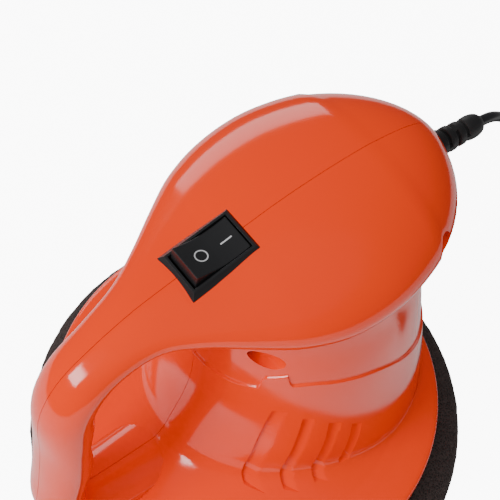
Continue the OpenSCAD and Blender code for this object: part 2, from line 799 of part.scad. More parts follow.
module plug_spring() {
    color(steel) at_plug() translate([0, 0, 37.5]) for (i = [0 : 4])
        translate([0, 0, i * 1.65]) rotate_extrude() translate([2.6, 0.4]) circle(r = 0.35, $fn = 16);
}

module plug_fuse() {
    color([0.80, 0.85, 0.85]) at_plug() {
        translate([0, 0, 45]) cylinder(r = 3.1, h = 5);
        translate([0, 0, 50]) cylinder(r = 2.8, h = 15);
        translate([0, 0, 65]) cylinder(r = 3.1, h = 5);
    }
}

module plug_indicator() {
    color([0.70, 0.06, 0.05]) at_plug() translate([8.6, 0, 22.5]) rotate([0, 90, 0])
        cylinder(r = 1.7, h = 2.7);
}

housing_left();
housing_right();
housing_screws();
gearbox_cover();
cover_screws();
motor_plate();
motor_screws();
lower_bearing_outer_ring();
lower_bearing_balls();
lower_bearing_inner_ring();
upper_bush();
spindle();
spindle_gear();
pinion();
motor_can();
motor_end_cap();
motor_magnets();
motor_front_bush();
motor_rear_bush();
motor_shaft();
armature_core();
armature_windings();
commutator();
motor_fan();
motor_brushes();
brush_springs();
motor_terminals();
noise_capacitor();
backing_plate();
plate_screw();
hook_disc();
foam_pad();
switch_frame();
switch_terminals();
rocker();
rocker_plunger();
contact_lever();
strain_relief();
cord_tail();
cord_clamp();
clamp_screws();
wire_to_switch();
wire_to_motor();
wire_return();
power_cord();
cord_coil();
cord_tie();
plug_cord();
plug_boot();
plug_shell_top();
plug_shell_bottom();
plug_screw();
plug_side_contacts();
plug_cap();
plug_tip();
plug_spring();
plug_fuse();
plug_indicator();
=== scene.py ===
# %% [markdown]
# # A small rotary polisher
#
# This lesson dresses a small car polisher: an orange loop-handled shell, a rocker switch on its head,
# a ribbed cord guard, a round foam pad, and a thin lead with a 12 V plug. The working parts come from
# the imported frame, and each visible piece is made here around them. The frame is in metres, the maker's
# drawings are in millimetres, so the helpers below take millimetres and scale once, when a mesh is made.

# %% Load the frame
import json
import math

import bmesh
import bpy
from mathutils import Matrix, Vector, noise
from mathutils.bvhtree import BVHTree

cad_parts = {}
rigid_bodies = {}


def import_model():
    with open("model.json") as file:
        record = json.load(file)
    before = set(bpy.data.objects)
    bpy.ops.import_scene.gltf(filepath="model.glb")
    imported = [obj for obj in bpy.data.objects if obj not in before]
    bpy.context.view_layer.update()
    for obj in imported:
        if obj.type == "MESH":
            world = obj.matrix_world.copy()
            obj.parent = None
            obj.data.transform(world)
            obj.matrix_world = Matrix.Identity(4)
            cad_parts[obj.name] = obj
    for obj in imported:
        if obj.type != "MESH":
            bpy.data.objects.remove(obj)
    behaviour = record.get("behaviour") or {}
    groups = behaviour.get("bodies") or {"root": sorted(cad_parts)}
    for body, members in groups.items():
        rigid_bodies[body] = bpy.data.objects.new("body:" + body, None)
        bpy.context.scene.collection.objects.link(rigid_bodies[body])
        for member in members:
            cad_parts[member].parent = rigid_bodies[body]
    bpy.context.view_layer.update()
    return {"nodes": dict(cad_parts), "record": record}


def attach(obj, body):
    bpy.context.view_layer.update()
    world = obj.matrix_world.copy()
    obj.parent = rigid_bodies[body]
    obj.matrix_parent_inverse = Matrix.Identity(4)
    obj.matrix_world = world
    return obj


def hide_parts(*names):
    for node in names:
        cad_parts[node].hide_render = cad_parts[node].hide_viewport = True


for spare in list(bpy.data.objects):
    bpy.data.objects.remove(spare, do_unlink=True)
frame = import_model()
MM = 0.001

# %% [markdown]
# ## The camera
#
# A camera is placed by its aim, its bearing, its height above the horizon and its distance. The view
# looks down on the head from the handle's side, close enough that the pad and the foot run out of it.

# %% Place the camera
AIM = Vector((2.13, 0, 104)) * MM
BEARING = math.radians(-36.65)
HEIGHT = math.radians(58.19)
DISTANCE = 0.3
right = Vector((math.cos(BEARING), math.sin(BEARING), 0))
back = Vector((math.sin(BEARING) * math.cos(HEIGHT), -math.cos(BEARING) * math.cos(HEIGHT), math.sin(HEIGHT)))
up = back.cross(right)
camera = bpy.data.objects.new("camera", bpy.data.cameras.new("camera"))
camera.data.sensor_width = 36
camera.data.lens = 88.86
camera.data.clip_start = 0.01
camera.matrix_world = Matrix((right, up, back)).transposed().to_4x4()
camera.location = AIM + back * DISTANCE
bpy.context.scene.collection.objects.link(camera)
bpy.context.scene.camera = camera
print("camera stands at", [round(x * 1000) for x in camera.location], "mm")

# %% [markdown]
# ## Helpers for meshes
#
# Nearly every moulding on a hand tool is a stack of rings: a lofted handle, a turned collar, a frame
# round a switch. One function skins a list of rings, and the rest of the lesson only decides where the
# rings lie. Smooth shading is cut at edges that turn sharply, so crisp edges stay crisp.


# %% Make a mesh, skin rings, turn a profile
def make_piece(name, points, faces, material=None, sharp=35):
    """A new object from points in millimetres; its normals are made consistent and its edges shaded."""
    mesh = bpy.data.meshes.new(name)
    mesh.from_pydata([Vector(p) * MM for p in points], [], faces)
    piece = bpy.data.objects.new(name, mesh)
    bpy.context.scene.collection.objects.link(piece)
    tidy_mesh(piece, sharp)
    if material:
        mesh.materials.append(material)
    return piece


def tidy_mesh(piece, sharp=35):
    """Merges doubled points, turns all faces outwards and marks edges sharper than the given angle."""
    work = bmesh.new()
    work.from_mesh(piece.data)
    bmesh.ops.remove_doubles(work, verts=work.verts, dist=1e-7)
    bmesh.ops.recalc_face_normals(work, faces=work.faces)
    for face in work.faces:
        face.smooth = True
    for edge in work.edges:
        edge.smooth = len(edge.link_faces) == 2 and edge.calc_face_angle(0) < math.radians(sharp)
    work.to_mesh(piece.data)
    work.free()


def skin(name, rings, material=None, sharp=35, closed=False):
    """Quads between rings of equal size. Open skins get a cap at both ends, closed ones join up."""
    size, count = len(rings[0]), len(rings)
    faces = []
    for j in range(count if closed else count - 1):
        low, high = j * size, (j + 1) % count * size
        for i in range(size):
            k = (i + 1) % size
            faces.append((low + i, low + k, high + k, high + i))
    if not closed:
        faces.append(tuple(range(size)))
        faces.append(tuple((count - 1) * size + i for i in range(size)))
    return make_piece(name, [p for ring in rings for p in ring], faces, material, sharp)


def turned(name, profile, material=None, sides=64, sharp=35, place=None):
    """A turned solid: profile is a list of (radius, height) from the bottom's middle to the top's."""
    place = place or Matrix.Identity(4)
    rings = [
        [place @ Vector((r * math.cos(2 * math.pi * i / sides), r * math.sin(2 * math.pi * i / sides), z))
         for i in range(sides)]
        for r, z in profile if r > 1e-4
    ]
    return skin(name, rings, material, sharp)


def between(a, b, c, d, t):
    """A point from b to c on the smooth curve through a, b, c and d, for tuples of any length."""
    return tuple(
        0.5 * (2 * q + (r - p) * t + (2 * p - 5 * q + 4 * r - s) * t * t + (3 * q - p - 3 * r + s) * t ** 3)
        for p, q, r, s in zip(a, b, c, d)
    )


def smooth_line(points, steps):
    """The points with extra ones on a smooth curve through them."""
    last = len(points) - 1
    line = [
        between(points[max(i - 1, 0)], points[i], points[i + 1], points[min(i + 2, last)], k / steps)
        for i in range(last) for k in range(steps)
    ]
    return line + [tuple(points[last])]


# %% [markdown]
# ## The lead
#
# The lead is a fixed length of thin two-core cable. It leaves the cord guard, bends down over a hand's
# breadth, and the rest is wound in a flat coil beside the tool, as it would be put away. Its far end
# comes off the top layer and runs round to the plug. One curve holds it all, because a cable is one
# piece. The turns spiral inwards in the first layer, outwards in the next, and so on, one cable's width
# apart, so that no turn cuts another.

# %% Route of the lead
LEAD = 3.0
COIL_AT = (134, -20)
LAYERS = 6
LANE_STEP, LAYER_STEP = 3.15, 3.3
OUTER_TURN, INNER_TURN = 24.3, 11.7
LAYER_TURNS = (OUTER_TURN - INNER_TURN) / LANE_STEP
CLIMB_TURNS = 0.38
TURN_POINTS = 36
START_ANGLE = 95
lead_route = [
    (78.8, 0, 95.5), (83, 0, 94.3), (87, 0, 91.5), (91, 0, 87), (94.5, 0, 80), (97.5, 0, 71),
    (100, -0.4, 60), (102, -1.4, 48), (103.8, -3, 36), (104.8, -4.9, 27), (105.1, -5.6, 20.6),
    (106, -4.9, 14.9), (108.6, -3, 10), (112.5, -0.2, 6.8),
]
plug_lead_route = [
    (138.5, 6.6, 16.4), (143, 7.3, 14.6), (148, 7, 11.2), (153, 6.2, 7.4), (158.5, 4.4, 3.8),
    (164.5, 1.2, 1.8), (170, -3.6, 1.6), (174.8, -10.4, 1.6), (177.8, -19, 2), (178.6, -28, 2.8),
    (177.4, -37.5, 4.2), (173.8, -46.5, 6.4), (168, -54, 9), (161.5, -58.9, 11.1), (156, -60, 11.5),
]


def ease(t):
    t = min(max(t, 0), 1)
    return t * t * (3 - 2 * t)


def coil_point(turns, radius, height):
    """A point of the coil, clockwise from its start, seen from above."""
    a = math.radians(START_ANGLE - 360 * turns)
    return (COIL_AT[0] + radius * math.cos(a), COIL_AT[1] + radius * math.sin(a), height)


def wound_turns():
    """Layers that spiral inwards and outwards in turn, with a straight climb from each to the next."""
    points = []
    step = LAYER_TURNS + CLIMB_TURNS
    total = LAYERS * step - CLIMB_TURNS
    for k in range(round(total * TURN_POINTS) + 1):
        turns = k / TURN_POINTS
        layer = min(int(turns / step), LAYERS - 1)
        along = turns - layer * step
        share = min(along / LAYER_TURNS, 1)
        inwards = share if layer % 2 == 0 else 1 - share
        radius = OUTER_TURN + (INNER_TURN - OUTER_TURN) * inwards
        height = LEAD / 2 + LAYER_STEP * (layer + ease((along - LAYER_TURNS) / CLIMB_TURNS))
        come_in = 1 - ease(turns / 0.16)
        points.append(coil_point(turns, radius + 3 * come_in, height + 1.6 * come_in))
    return points, total


wound, coil_turns = wound_turns()
come_in = [coil_point(-0.086, 28.7, 5.6), coil_point(-0.042, 28, 4.3)]
top = LEAD / 2 + LAYER_STEP * (LAYERS - 1)
go_out = [coil_point(coil_turns + k, OUTER_TURN + r, top - z)
          for k, r, z in ((0.04, 0.9, 0.2), (0.09, 2.6, 1.1))]
lead_in = smooth_line(lead_route + come_in + wound[:1], 4)[:-1]
lead_out = smooth_line(wound[-1:] + go_out + plug_lead_route, 4)[1:]
lead_line = lead_in + wound + lead_out


# %% Make the lead
def make_tube(name, line, diameter, material=None):
    """A round cable on one open spline, with its line in millimetres."""
    curve = bpy.data.curves.new(name, "CURVE")
    curve.dimensions = "3D"
    curve.bevel_depth = diameter / 2 * MM
    curve.bevel_resolution = 3
    curve.use_fill_caps = True
    spline = curve.splines.new("POLY")
    spline.points.add(len(line) - 1)
    for point, place in zip(spline.points, line):
        point.co = (*[c * MM for c in place], 1)
    spline.use_smooth = True
    tube = bpy.data.objects.new(name, curve)
    bpy.context.scene.collection.objects.link(tube)
    if material:
        curve.materials.append(material)
    return tube


lead = make_tube("lead", lead_line, LEAD)
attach(lead, "housing")
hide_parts("power_cord", "cord_coil", "plug_cord")
print("lead has", len(lead_line), "points")

# %% [markdown]
# ## Finishes
#
# Every finish is worked out by nodes. One recipe serves all: a base colour that drifts a little between
# two neighbouring shades, as pigment does in a moulding, a roughness that drifts too, and a fine bump at
# the size of the tool marks, the spark-eroded grain or the casting skin. What differs is the numbers.
# Scales are in grains per metre, depths in millimetres.


# %% The recipe for a finish
def finish(name, colour, other, rough, grain=900, depth=0.02, metallic=0.0, drift=60, coat=0.0, spread=0.06,
           cells=False, brushed=None, specular=0.5, clear=0.0, strength=0.5):
    """A node material. cells gives open pores, brushed stretches the grain along one axis."""
    made = bpy.data.materials.new(name)
    made.use_nodes = True
    nodes, links = made.node_tree.nodes, made.node_tree.links
    surface = nodes["Principled BSDF"]
    surface.inputs["Metallic"].default_value = metallic
    surface.inputs["Specular IOR Level"].default_value = specular
    surface.inputs["Coat Weight"].default_value = coat
    surface.inputs["Coat Roughness"].default_value = 0.07
    surface.inputs["Transmission Weight"].default_value = clear
    place = nodes.new("ShaderNodeTexCoord").outputs["Object"]
    slow = nodes.new("ShaderNodeTexNoise")
    slow.inputs["Scale"].default_value = drift
    slow.inputs["Detail"].default_value = 3.0
    links.new(place, slow.inputs["Vector"])
    blend = nodes.new("ShaderNodeMix")
    blend.data_type = "RGBA"
    blend.inputs["A"].default_value = (*colour, 1)
    blend.inputs["B"].default_value = (*other, 1)
    links.new(slow.outputs["Fac"], blend.inputs["Factor"])
    fine_place = place
    if brushed:
        stretch = nodes.new("ShaderNodeMapping")
        stretch.inputs["Scale"].default_value = brushed
        links.new(place, stretch.inputs["Vector"])
        fine_place = stretch.outputs["Vector"]
    fine = nodes.new("ShaderNodeTexVoronoi" if cells else "ShaderNodeTexNoise")
    fine.inputs["Scale"].default_value = grain
    links.new(fine_place, fine.inputs["Vector"])
    relief = fine.outputs["Distance" if cells else "Fac"]
    if not cells:
        fine.inputs["Detail"].default_value = 5.0
    sheen = nodes.new("ShaderNodeMapRange")
    sheen.inputs["To Min"].default_value = max(rough - spread, 0.02)
    sheen.inputs["To Max"].default_value = min(rough + spread, 1)
    links.new(relief, sheen.inputs["Value"])
    links.new(sheen.outputs["Result"], surface.inputs["Roughness"])
    colour_out = blend.outputs["Result"]
    if cells:
        pores = nodes.new("ShaderNodeMapRange")
        pores.inputs["From Max"].default_value = 0.55
        pores.inputs["To Min"].default_value = 0.25
        pores.inputs["To Max"].default_value = 1.35
        links.new(relief, pores.inputs["Value"])
        deep = nodes.new("ShaderNodeMix")
        deep.data_type, deep.blend_type = "RGBA", "MULTIPLY"
        deep.inputs["Factor"].default_value = 1.0
        links.new(colour_out, deep.inputs["A"])
        links.new(pores.outputs["Result"], deep.inputs["B"])
        colour_out = deep.outputs["Result"]
    links.new(colour_out, surface.inputs["Base Color"])
    bump = nodes.new("ShaderNodeBump")
    bump.inputs["Strength"].default_value = strength
    bump.inputs["Distance"].default_value = depth * MM
    links.new(relief, bump.inputs["Height"])
    links.new(bump.outputs["Normal"], surface.inputs["Normal"])
    return made


# %% One finish for each of the record's slots
finishes = {
    "housing": finish("orange_abs", (1.0, 0.042, 0.0), (1.0, 0.052, 0.0), 0.11, grain=420, depth=0.012,
                      coat=0.0, spread=0.03, drift=25, strength=0.2),
    "switch_black": finish("satin_black_nylon", (0.012, 0.012, 0.013), (0.020, 0.020, 0.021),
                      0.30, grain=2200,
                           depth=0.02, spread=0.05, strength=0.3),
    "rubber_black": finish("soft_black_rubber", (0.010, 0.010, 0.011), (0.022, 0.021, 0.021),
                      0.56, grain=1500,
                           depth=0.04, spread=0.08),
    "cord_black": finish("black_pvc", (0.012, 0.012, 0.014), (0.024, 0.024, 0.026),
                      0.34, grain=700, depth=0.03,
                         spread=0.07),
    "plug_black": finish("black_phenolic", (0.013, 0.013, 0.014), (0.025, 0.025, 0.025), 0.38, grain=1300,
                         depth=0.03, spread=0.06),
    "inner_black": finish("black_glass_filled_nylon", (0.016, 0.016, 0.017), (0.035, 0.034, 0.033), 0.48,
                          grain=1100, depth=0.05, spread=0.1),
    "foam": finish("dark_open_foam", (0.030, 0.022, 0.021), (0.055, 0.040, 0.037),
                      0.92, grain=1500, depth=0.5,
                   cells=True, drift=120, specular=0.2, strength=0.9),
    "hook": finish("hook_fabric", (0.016, 0.016, 0.018), (0.04, 0.04, 0.042), 0.85, grain=1900, depth=0.25,
                   cells=True, specular=0.25),
    "steel": finish("turned_steel", (0.56, 0.56, 0.57), (0.68, 0.68, 0.68), 0.28, grain=900, depth=0.01,
                    metallic=1.0, brushed=(1.0, 1.0, 9.0), spread=0.1),
    "zinc": finish("zinc_plate", (0.50, 0.51, 0.54), (0.66, 0.66, 0.66), 0.38, grain=500, depth=0.03,
                   metallic=1.0, drift=200, spread=0.12),
    "brass": finish("drawn_brass", (0.70, 0.47, 0.17), (0.80, 0.57, 0.24), 0.30, grain=800, depth=0.01,
                    metallic=1.0, brushed=(1.0, 7.0, 1.0), spread=0.1),
    "copper": finish("enamelled_copper", (0.62, 0.22, 0.09), (0.80, 0.34, 0.16), 0.33, grain=2400, depth=0.08,
                     metallic=0.8, brushed=(1.0, 1.0, 5.0), spread=0.1),
    "ferrite": finish("ground_ferrite", (0.055, 0.052, 0.05), (0.10, 0.095, 0.09),
                      0.62, grain=1600, depth=0.05),
    "laminations": finish("stacked_laminations", (0.20, 0.20, 0.21), (0.34, 0.34, 0.35), 0.45, grain=700,
                          depth=0.12, metallic=0.9, brushed=(0.2, 0.2, 14.0), spread=0.15),
    "gear_nylon": finish("gear_acetal", (0.72, 0.70, 0.62), (0.80, 0.78, 0.70), 0.36, grain=900, depth=0.03),
    "fan_nylon": finish("fan_nylon", (0.60, 0.60, 0.55), (0.70, 0.70, 0.64), 0.42, grain=1000, depth=0.03),
    "wire_red": finish("red_pvc", (0.42, 0.012, 0.010), (0.52, 0.020, 0.016), 0.36, grain=1200, depth=0.02),
    "capacitor": finish("dipped_capacitor", (0.46, 0.20, 0.04), (0.58, 0.27, 0.07),
                      0.24, grain=600, depth=0.06),
    "fuse_glass": finish("fuse_glass", (0.62, 0.68, 0.68), (0.72, 0.78, 0.78), 0.10, grain=300, depth=0.02,
                         clear=0.7, spread=0.03),
    "lens_red": finish("red_lens", (0.55, 0.010, 0.008), (0.68, 0.02, 0.014), 0.14, grain=900, depth=0.03,
                       clear=0.35, spread=0.04),
}
mark_grey = finish("printed_grey", (0.50, 0.50, 0.51), (0.62, 0.62, 0.63), 0.42, grain=2600, depth=0.01)
slot_of = {part["node"]: part["material_slot"] for part in frame["record"]["subparts"]}
lead.data.materials.append(finishes["cord_black"])
for node, drawn in frame["nodes"].items():
    drawn.data.materials.clear()
    drawn.data.materials.append(finishes[slot_of[node]])
print(len(finishes), "finishes on", len(slot_of), "nodes")

# %% [markdown]
# ## The shell's form
#
# The shell is two bodies grown together. One is a tube that makes the round head, narrows, bends down and
# becomes the handle and the foot. The other is the column round the motor, which flares into a skirt over
# the pad. Each is a stack of rings, so each can be drawn again a wall's thickness smaller, and that is the
# hollow. The column steps in a little above a line that runs round it, the edge where two tools met in the
# mould, and the line climbs in a small tab below the neck's screw.

# %% Stations of the head and the handle
TUBE_LINE = [
    (38, 105, 13.1, 29.8), (24, 104.5, 14, 33.6), (10, 103.4, 14.1, 33.3), (-2, 103.8, 12, 29.3),
    (-12, 104.6, 9, 22.9), (-22, 105.2, 6.4, 15.8), (-31, 104.4, 5.1, 10.8), (-41, 100.6, 5, 8.9),
    (-49.5, 94.5, 6, 8.9), (-54.5, 85, 6.7, 9.3), (-56.5, 70, 6.7, 9.6), (-60, 54, 6.3, 9.2),
    (-62.5, 41, 6.3, 9), (-58, 32.5, 6.3, 9.6), (-46, 31, 5.8, 10.5), (-27, 31.5, 5, 11),
]
BEFORE_HEAD = (48, 104, 12, 23.4)
TUBE_SIDES = 96
WALL = 2.2
GRIP_TOP, GRIP_FOOT, WAVE, WAVE_LENGTH, WAVE_RIDGE = 88, 38, 0.8, 21, 62


def nose_station(turn):
    """A station of the rounded nose, from its front (90 degrees) to the first drawn station."""
    a = math.radians(turn)
    x = 17 + 43 * math.sin(a)
    h = 13.1 * max(1 - max((x - 30) / 30, 0) ** 3, 1e-4) ** (1 / 3)
    return (x, 105 - 0.085 * (x - 38), h, 33.6 * math.cos(a))


def tube_stations():
    nose = [nose_station(t) for t in (89, 87, 84, 80, 76, 72, 68, 64, 60, 56, 52, 48, 44, 40, 36, 32.5)]
    last = len(TUBE_LINE) - 1
    run = []
    for i in range(last):
        before = TUBE_LINE[i - 1] if i else BEFORE_HEAD
        after = TUBE_LINE[min(i + 2, last)]
        run += [between(before, TUBE_LINE[i], TUBE_LINE[i + 1], after, k / 6) for k in range(6)]
    return nose, run + [TUBE_LINE[-1]]


def tube_rings(inset):
    """Rings of the head and handle, smaller by the inset all round."""
    nose, run = tube_stations()
    line = nose + run
    rings = []
    for i, (x, z, h, w) in enumerate(line):
        ahead, behind = line[min(i + 1, len(line) - 1)], line[max(i - 1, 0)]
        t = Vector((ahead[0] - behind[0], ahead[1] - behind[1])).normalized()
        if i < len(nose):
            t = Vector((-1, 0))
        x, h, w = (x - inset if i < len(nose) else x), max(h - inset, 0.3), max(w - inset, 0.5)
        hold = ease((GRIP_TOP - z) / 6) * ease((z - GRIP_FOOT) / 4) if x < -40 else 0
        wave = 0 if inset else hold * WAVE * math.cos(2 * math.pi * (z - WAVE_RIDGE) / WAVE_LENGTH)
        ring = []
        for k in range(TUBE_SIDES):
            q = 2 * math.pi * k / TUBE_SIDES
            c = math.cos(q)
            high = h * c + wave * (0.5 + 0.5 * c) ** 1.2
            ring.append((x - t.y * high, -w * math.sin(q), z + t.x * high))
        rings.append(ring)
    return rings


# %% Stations of the column and the skirt
COLUMN_X = 18
COLUMN_LINE = [
    (28, 38, 14), (34, 37.5, 11), (40, 37, 8.6), (46, 36.6, 5.6), (52, 36, 2.8),
    (60, 35.2, 0.6), (70, 34.2, 0), (80, 33, 0), (90, 31.5, 0), (100, 31, 0),
]
SKIRT_LINE = [
    (25, 57), (27.6, 57), (28.1, 56.6), (28.5, 55.4), (29, 53), (29.8, 49), (30.8, 45), (32.2, 41), (34, 37),
    (36.5, 32), (40, 25), (50, 18),
]
STEP_LINE = [
    (0, 55), (45, 58), (67, 65), (89, 73.4), (115, 77.4), (129, 77.2), (146, 73.6), (159, 71.6), (180, 70.5),
    (201, 71.6), (214, 73.6), (231, 77.2), (245, 77.4), (271, 73.4), (293, 65), (315, 58), (360, 55),
]
STEP_DEPTH, STEP_ROUND = 0.6, 0.3
NECK_TAB_AT, NECK_TAB_HALF, NECK_TAB_RISE = 222.3, 6.2, 4.6
COLUMN_SIDES = 288


def on_line(line, at):
    """A table's value, or values, in straight steps between its rows."""
    if at <= line[0][0]:
        return line[0][1:]
    for low, high in zip(line, line[1:]):
        if at <= high[0]:
            t = (at - low[0]) / (high[0] - low[0])
            return tuple(p + (q - p) * t for p, q in zip(low[1:], high[1:]))
    return line[-1][1:]


COLUMN_SMOOTH = smooth_line(COLUMN_LINE, 6)
STEP_SMOOTH = smooth_line(STEP_LINE, 5)


def column_radius(z, a, inset=0.0):
    """How far the column or the skirt reaches from the column's axis at height z and angle a."""
    r, keel = on_line(COLUMN_SMOOTH, z)
    r += keel * max(0.0, -math.cos(a)) ** 3 - inset
    if z < 50:
        (rim,) = on_line(SKIRT_LINE, z + (inset and 2.0))
        rim = rim - inset
        inner = rim * rim - (COLUMN_X * math.sin(a)) ** 2
        skirt = -COLUMN_X * math.cos(a) + math.sqrt(inner) if inner > 0 else 0
        blend = 3 * max(0.0, min(1.0, (z - 28) / 3))
        gap = max(blend - abs(r - skirt), 0)
        r = max(r, skirt) + (gap * gap / (4 * blend) if blend else 0)
    return r


def step_height(degrees):
    (z,) = on_line(STEP_SMOOTH, degrees)
    off = abs(degrees - NECK_TAB_AT)
    return z + NECK_TAB_RISE * ease((NECK_TAB_HALF - off) / 1.6 + 0.5)


def column_rings(inset, stepped=True):
    """Rings of column and skirt: close together on the rim and where the surface steps in."""
    rim = [25, 26.4, 27.4] + [27.6 + 0.2 * k for k in range(18)] + [31.5, 32, 33, 34, 35, 36, 37, 38]
    if inset:
        rim = [23.5] + rim[2:]
    rows, below, band, above = [], 15, (-1.4, -1, -0.7, -0.35, 0, 0.35, 0.7, 1, 1.4), 12
    angles = [360 * k / COLUMN_SIDES for k in range(COLUMN_SIDES)]
    for z in rim:
        rows.append([z] * COLUMN_SIDES)
    steps = [step_height(d) for d in angles]
    for k in range(1, below + 1):
        rows.append([38 + (s - STEP_ROUND * 2 - 38) * k / (below + 1) for s in steps])
    for b in band:
        rows.append([s + b * STEP_ROUND for s in steps])
    for k in range(1, above + 1):
        rows.append([s + STEP_ROUND * 2 + (100 - s - STEP_ROUND * 2) * k / above for s in steps])
    rings = []
    for row in rows:
        ring = []
        for d, s, z in zip(angles, steps, row):
            a = math.radians(d)
            back_in = STEP_DEPTH * ease((z - s) / (2 * STEP_ROUND) + 0.5) if stepped and not inset else 0
            r = column_radius(z, a, inset) - back_in
            ring.append((COLUMN_X + r * math.cos(a), r * math.sin(a), z))
        rings.append(ring)
    return rings


tube_form = skin("tube_form", tube_rings(0), sharp=80)
column_form = skin("column_form", column_rings(0), sharp=80)
print("head and handle:", len(tube_form.data.vertices), "points; column:", len(column_form.data.vertices))

# %% [markdown]
# ## Cutting the shell
#
# A moulded half is the outside less the inside, less its openings, cut at the parting plane. The same is
# done here with solids: the screw seats, the switch opening, the cord's hole and the air slots are all
# cutters. Each slot is deep along one side and runs out to the surface on the other, so that air turns in
# behind its edge and a finger never sees the motor. A hair's breadth is left between the halves, which
# shows as the fine seam over the head.


# %% Solids that cut and join
def carve(piece, tool, how):
    """Joins, cuts or keeps the common part of two solids, and removes the tool."""
    step = piece.modifiers.new("carve", "BOOLEAN")
    step.operation, step.solver, step.object = how, "MANIFOLD", tool
    graph = bpy.context.evaluated_depsgraph_get()
    made = bpy.data.meshes.new_from_object(piece.evaluated_get(graph))
    piece.modifiers.remove(step)
    old = piece.data
    piece.data = made
    bpy.data.meshes.remove(old)
    bpy.data.objects.remove(tool, do_unlink=True)
    return piece


def rod(x, z, radius, y_from, y_to, sides=40):
    """A round bar across the tool, at x and z."""
    turns = [2 * math.pi * k / sides for k in range(sides)]
    rings = [[(x + radius * math.cos(a), y, z + radius * math.sin(a)) for a in turns] for y in (y_from, y_to)]
    return skin("rod", rings)


def block(low, high, place=None):
    """A box between two corners, as a cutter."""
    place = place or Matrix.Identity(4)
    corners = ((low[0], low[1]), (high[0], low[1]), (high[0], high[1]), (low[0], high[1]))
    rings = [[place @ Vector((x, y, z)) for x, y in corners] for z in (low[2], high[2])]
    return skin("block", rings)


SWITCH = Matrix.Translation((-9.2, 0, 112.9)) @ Matrix.Rotation(math.radians(-9.8), 4, "Y")
GLAND = Matrix.Translation((58, 0, 98.6)) @ Matrix.Rotation(math.radians(98.4), 4, "Y")
SHELL_SCREWS = [(-6.8, 85.7, 12), (40, 106, 18), (49, 52, 12), (-51, 31.5, 5.5)]
# Each slot: x and z of its deep edge's top, middle and foot, then of its shallow edge's top and foot
SLOTS = [
    ((-8.0, 64.4), (-12.9, 49.4), (-19.4, 36.2), (-4.6, 64.7), (-15.8, 34.8)),
    ((-2.1, 61.5), (-5.6, 47.4), (-11.2, 34.8), (1.2, 61.0), (-7.7, 33.8)),
    ((3.9, 57.7), (1.5, 45.0), (-2.9, 33.9), (7.3, 56.0), (0.9, 33.2)),
    ((10.2, 53.0), (8.6, 42.8), (5.9, 34.4), (13.2, 51.0), (9.4, 34.0)),
]


# The slots' slanted floor: the share of the way across, and how deep it lies
SLOT_FLOOR = [(0, 3.9), (0.13, 3.9), (0.22, 2.3), (0.4, 1.75), (0.6, 1.15), (0.8, 0.55), (1, -0.03)]


def surface_y(x, z):
    """How far the column's side is from the middle plane at x and z."""
    inside, outside = 0.0, 80.0
    for _ in range(20):
        y = (inside + outside) / 2
        if math.hypot(x - COLUMN_X, y) < column_radius(z, math.atan2(y, x - COLUMN_X)):
            inside = y
        else:
            outside = y
    return inside


def slot_cutter(slot, side):
    """A wedge: through the wall along its deep edge, level with the surface at the other."""
    top, middle, foot, shallow_top, shallow_foot = slot
    rings, rows = [], 18
    for k in range(rows + 1):
        t = k / rows
        deep = [a * (1 - t) ** 2 + 2 * (2 * m - (a + b) / 2) * t * (1 - t) + b * t * t
                for a, m, b in zip(top, middle, foot)]
        bow = [m - (a + b) / 2 for a, m, b in zip(top, middle, foot)]
        shallow = [a + (b - a) * t + 4 * w * t * (1 - t) for a, b, w in zip(shallow_top, shallow_foot, bow)]
        ring = []
        for share, depth in SLOT_FLOOR:
            x, z = (a + (b - a) * share for a, b in zip(deep, shallow))
            ring.append((x, side * (surface_y(x, z) - depth), z))
        ring.append((shallow[0], side * 62, shallow[1]))
        ring.append((deep[0], side * 62, deep[1]))
        rings.append(ring)
    return skin("slot", rings)


# %% The whole shell, then its two halves
shell = skin("shell", tube_rings(0), finishes["housing"])
carve(shell, skin("outer", column_rings(0)), "UNION")
carve(shell, skin("inner", tube_rings(WALL)), "DIFFERENCE")
carve(shell, skin("inner", column_rings(WALL)), "DIFFERENCE")
for x, z, seat in SHELL_SCREWS:
    boss = rod(x, z, 3.2, -60, 60)
    carve(boss, rod(x, z, 4.2, -60, 1.6 - seat), "UNION")
    body = column_rings(WALL / 2) if x in (-6.8, 49) else tube_rings(WALL / 2)
    carve(boss, skin("body", body), "INTERSECT")
    carve(shell, boss, "UNION")
for x, z, seat in SHELL_SCREWS:
    carve(shell, rod(x, z, 3, -70, -seat, 48), "DIFFERENCE")
    carve(shell, rod(x, z, 1.55, -70, 12), "DIFFERENCE")
carve(shell, block((-9.7, -6.65, -16), (9.7, 6.65, 14), SWITCH), "DIFFERENCE")
carve(shell, turned("hole", [(3, -3), (3, 9)], place=GLAND), "DIFFERENCE")
for side in (-1, 1):
    for slot in SLOTS:
        carve(shell, slot_cutter(slot, side), "DIFFERENCE")
print("shell:", len(shell.data.polygons), "faces")


